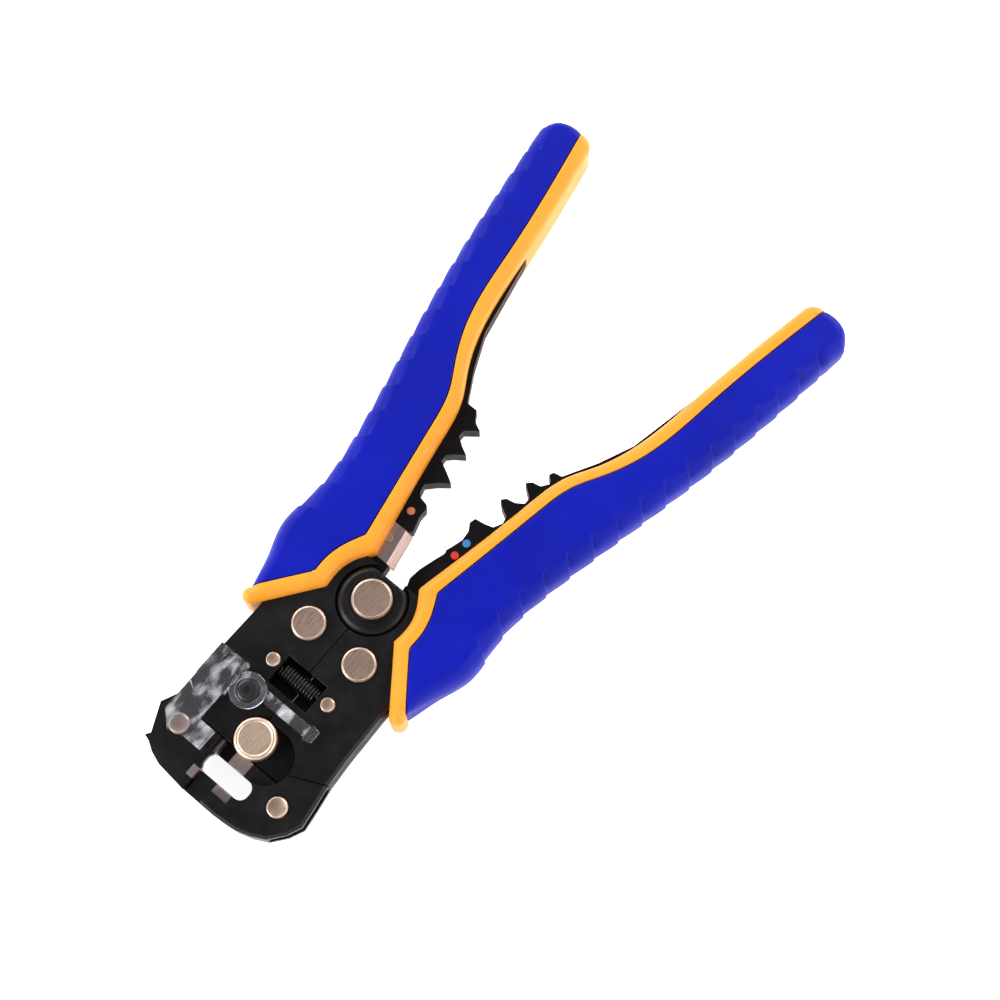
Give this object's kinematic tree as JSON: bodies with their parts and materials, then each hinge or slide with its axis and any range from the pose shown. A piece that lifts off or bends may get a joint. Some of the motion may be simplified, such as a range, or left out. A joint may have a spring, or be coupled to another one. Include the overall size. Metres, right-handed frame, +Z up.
{
  "type": "self-adjusting wire stripper",
  "caption": "Self-adjusting wire stripper with blue and yellow grips, black head plates, a clear sliding wire stop, crimping teeth and a cutter.",
  "frame": {"origin": "main pivot axis, where it meets the plane that the tool lies on", "axes": "+X along the tool towards the nose, +Y towards the right lever, +Z up out of the face"},
  "size_m": [0.2099, 0.1082, 0.0152],
  "materials": {
    "blue_rubber": "soft thermoplastic rubber, fine matt texture",
    "yellow_plastic": "satin moulded nylon",
    "black_steel": "satin black oxide and paint",
    "core_steel": "black oxide",
    "rivet_steel": "warm nickel plate",
    "blade_steel": "ground tool steel",
    "spring_steel": "black spring wire",
    "knob_brass": "satin plated",
    "clear_plastic": "clear moulded polycarbonate",
    "screw_black": "black oxide screw",
    "mark_orange": "paint",
    "mark_red": "paint",
    "mark_blue": "paint"
  },
  "bodies": {
    "right_lever": {"right_core_plate": "core_steel", "right_front_plate": "black_steel", "right_back_plate": "black_steel", "right_nose_jaw": "black_steel", "gripper_pad_fixed": "blade_steel", "main_pivot": "rivet_steel", "pivot_collar_front": "black_steel", "pivot_collar_back": "black_steel", "right_link_rivet": "rivet_steel", "right_nose_rivet": "rivet_steel", "right_spring_pin": "rivet_steel", "head_spring": "spring_steel", "gripper_jaw_spring": "spring_steel", "right_grip_frame": "yellow_plastic", "right_grip_cover": "blue_rubber", "mark_red": "mark_red", "mark_blue": "mark_blue"},
    "left_lever": {"left_core_plate": "core_steel", "left_front_plate": "black_steel", "left_back_plate": "black_steel", "left_nose_jaw": "black_steel", "stripping_blade_fixed": "blade_steel", "left_link_rivet": "rivet_steel", "left_nose_rivet": "rivet_steel", "left_spring_pin": "rivet_steel", "cutter_rivet": "rivet_steel", "cutter_blade": "blade_steel", "blade_jaw_spring": "spring_steel", "left_grip_frame": "yellow_plastic", "left_grip_cover": "blue_rubber", "mark_orange": "mark_orange"},
    "gripper_arm": {"gripper_jaw": "black_steel", "gripper_pad_moving": "blade_steel"},
    "blade_arm": {"blade_jaw": "black_steel", "stripping_blade_moving": "blade_steel"},
    "stop_slide": {"wire_stop": "clear_plastic", "wire_stop_clip": "blade_steel", "wire_stop_screw": "screw_black", "wire_stop_nut": "screw_black"},
    "knob_turn": {"tension_knob": "knob_brass"}
  },
  "joints": [
    {"name": "handle_squeeze", "type": "hinge", "parent": "right_lever", "child": "left_lever", "pos_m": [0, 0, 0.0075], "axis": [0, 0, 1], "range_deg": [-24, 0], "stiffness_Nm_per_rad": 1.2, "springref_deg": 20.05, "deforming": ["head_spring"]},
    {"name": "gripper_jaw_swing", "type": "hinge", "parent": "right_lever", "child": "gripper_arm", "pos_m": [0.0562, 0.0168, 0.0075], "axis": [0, 0, 1], "range_deg": [0, 18], "deforming": ["gripper_jaw_spring"]},
    {"name": "blade_jaw_swing", "type": "hinge", "parent": "left_lever", "child": "blade_arm", "pos_m": [0.0562, -0.0168, 0.0075], "axis": [0, 0, 1], "range_deg": [-25, 0], "deforming": ["blade_jaw_spring"]},
    {"name": "wire_stop_slide", "type": "slide", "parent": "left_lever", "child": "stop_slide", "axis": [0, -1, 0], "range_m": [0, 0.01]},
    {"name": "tension_knob_turn", "type": "hinge", "parent": "right_lever", "child": "knob_turn", "pos_m": [0.0468, 0.0012, 0.012], "axis": [0, 0, 1], "range_deg": [-180, 180]}
  ],
  "couplings": [
    {"joint": "gripper_jaw_swing", "follows": "handle_squeeze", "ratio": -0.75},
    {"joint": "blade_jaw_swing", "follows": "handle_squeeze", "ratio": 1.0417}
  ]
}
